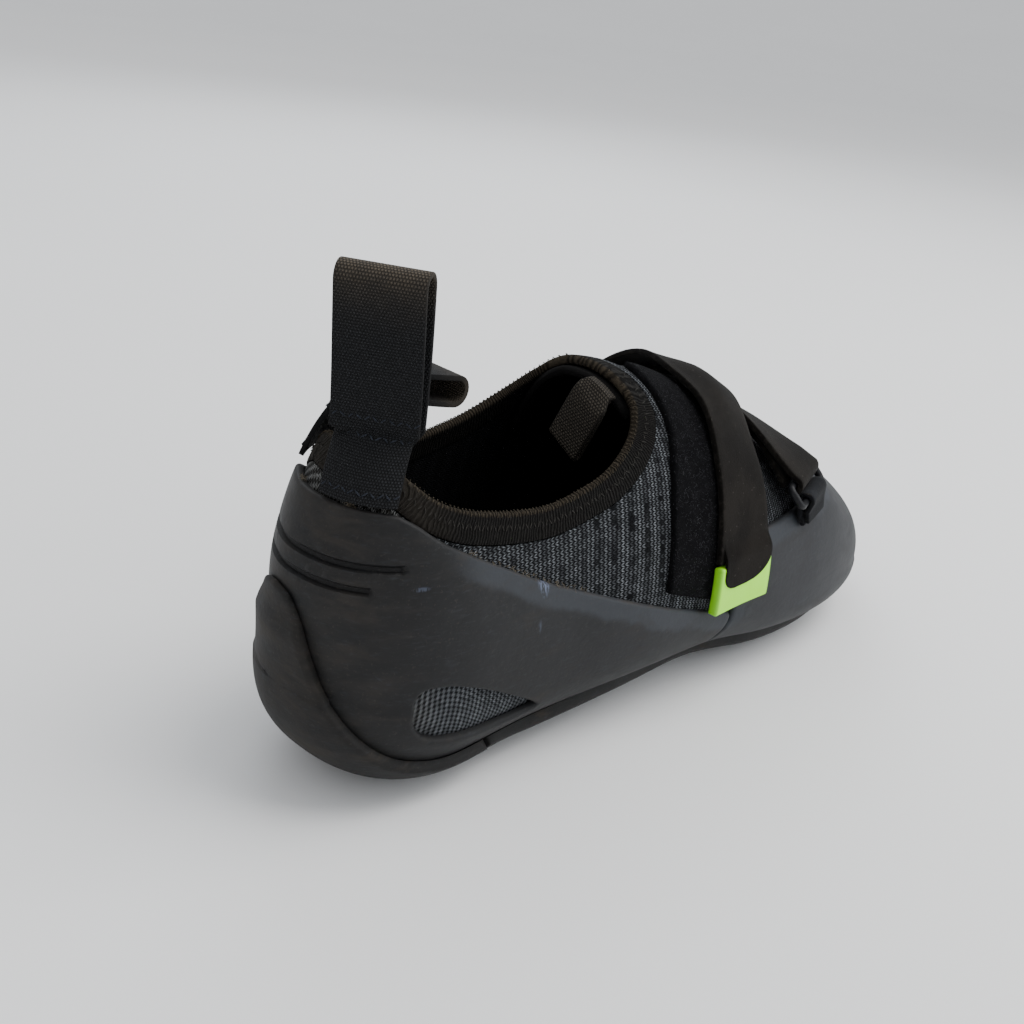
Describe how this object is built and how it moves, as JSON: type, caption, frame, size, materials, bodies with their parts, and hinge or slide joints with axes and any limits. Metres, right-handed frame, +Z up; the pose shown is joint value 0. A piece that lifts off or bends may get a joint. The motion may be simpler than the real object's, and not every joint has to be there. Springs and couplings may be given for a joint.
{
  "type": "climbing shoe",
  "caption": "Right climbing shoe with a knit sock upper, rubber rands and sole, a strap folded round rings, and heel pull loops.",
  "frame": {"origin": "middle of the bounding box at the floor that the sole stands on", "axes": "+X along the foot to the toe, -Y to the outer side of the foot, +Z up"},
  "size_m": [0.2464, 0.0934, 0.1249],
  "materials": {
    "knit": "black and grey melange knit",
    "band": "ribbed dark brown black band",
    "lining": "black lining",
    "rand_rubber": "matt black rubber, worn",
    "sole_rubber": "matt black sole rubber",
    "hook_and_loop": "black loop pile",
    "microfibre": "brown black microfibre",
    "lime_plastic": "pale lime moulded tip",
    "ring_plastic": "black",
    "webbing": "black webbing"
  },
  "bodies": {
    "root": {"upper": "knit", "collar_band": "band", "insole": "lining", "heel_rand": "rand_rubber", "toe_rubber": "rand_rubber", "outsole": "sole_rubber", "heel_patch": "sole_rubber", "hook_and_loop_pad": "hook_and_loop", "tongue": "lining", "strap_front": "microfibre", "strap_middle": "microfibre", "strap_rear": "microfibre", "strap_tip": "lime_plastic", "ring_lateral": "ring_plastic", "ring_holder_lateral": "webbing", "ring_medial": "ring_plastic", "ring_holder_medial": "webbing", "pull_loop_lateral": "webbing", "pull_loop_medial": "webbing", "tongue_loop": "webbing"}
  },
  "joints": []
}
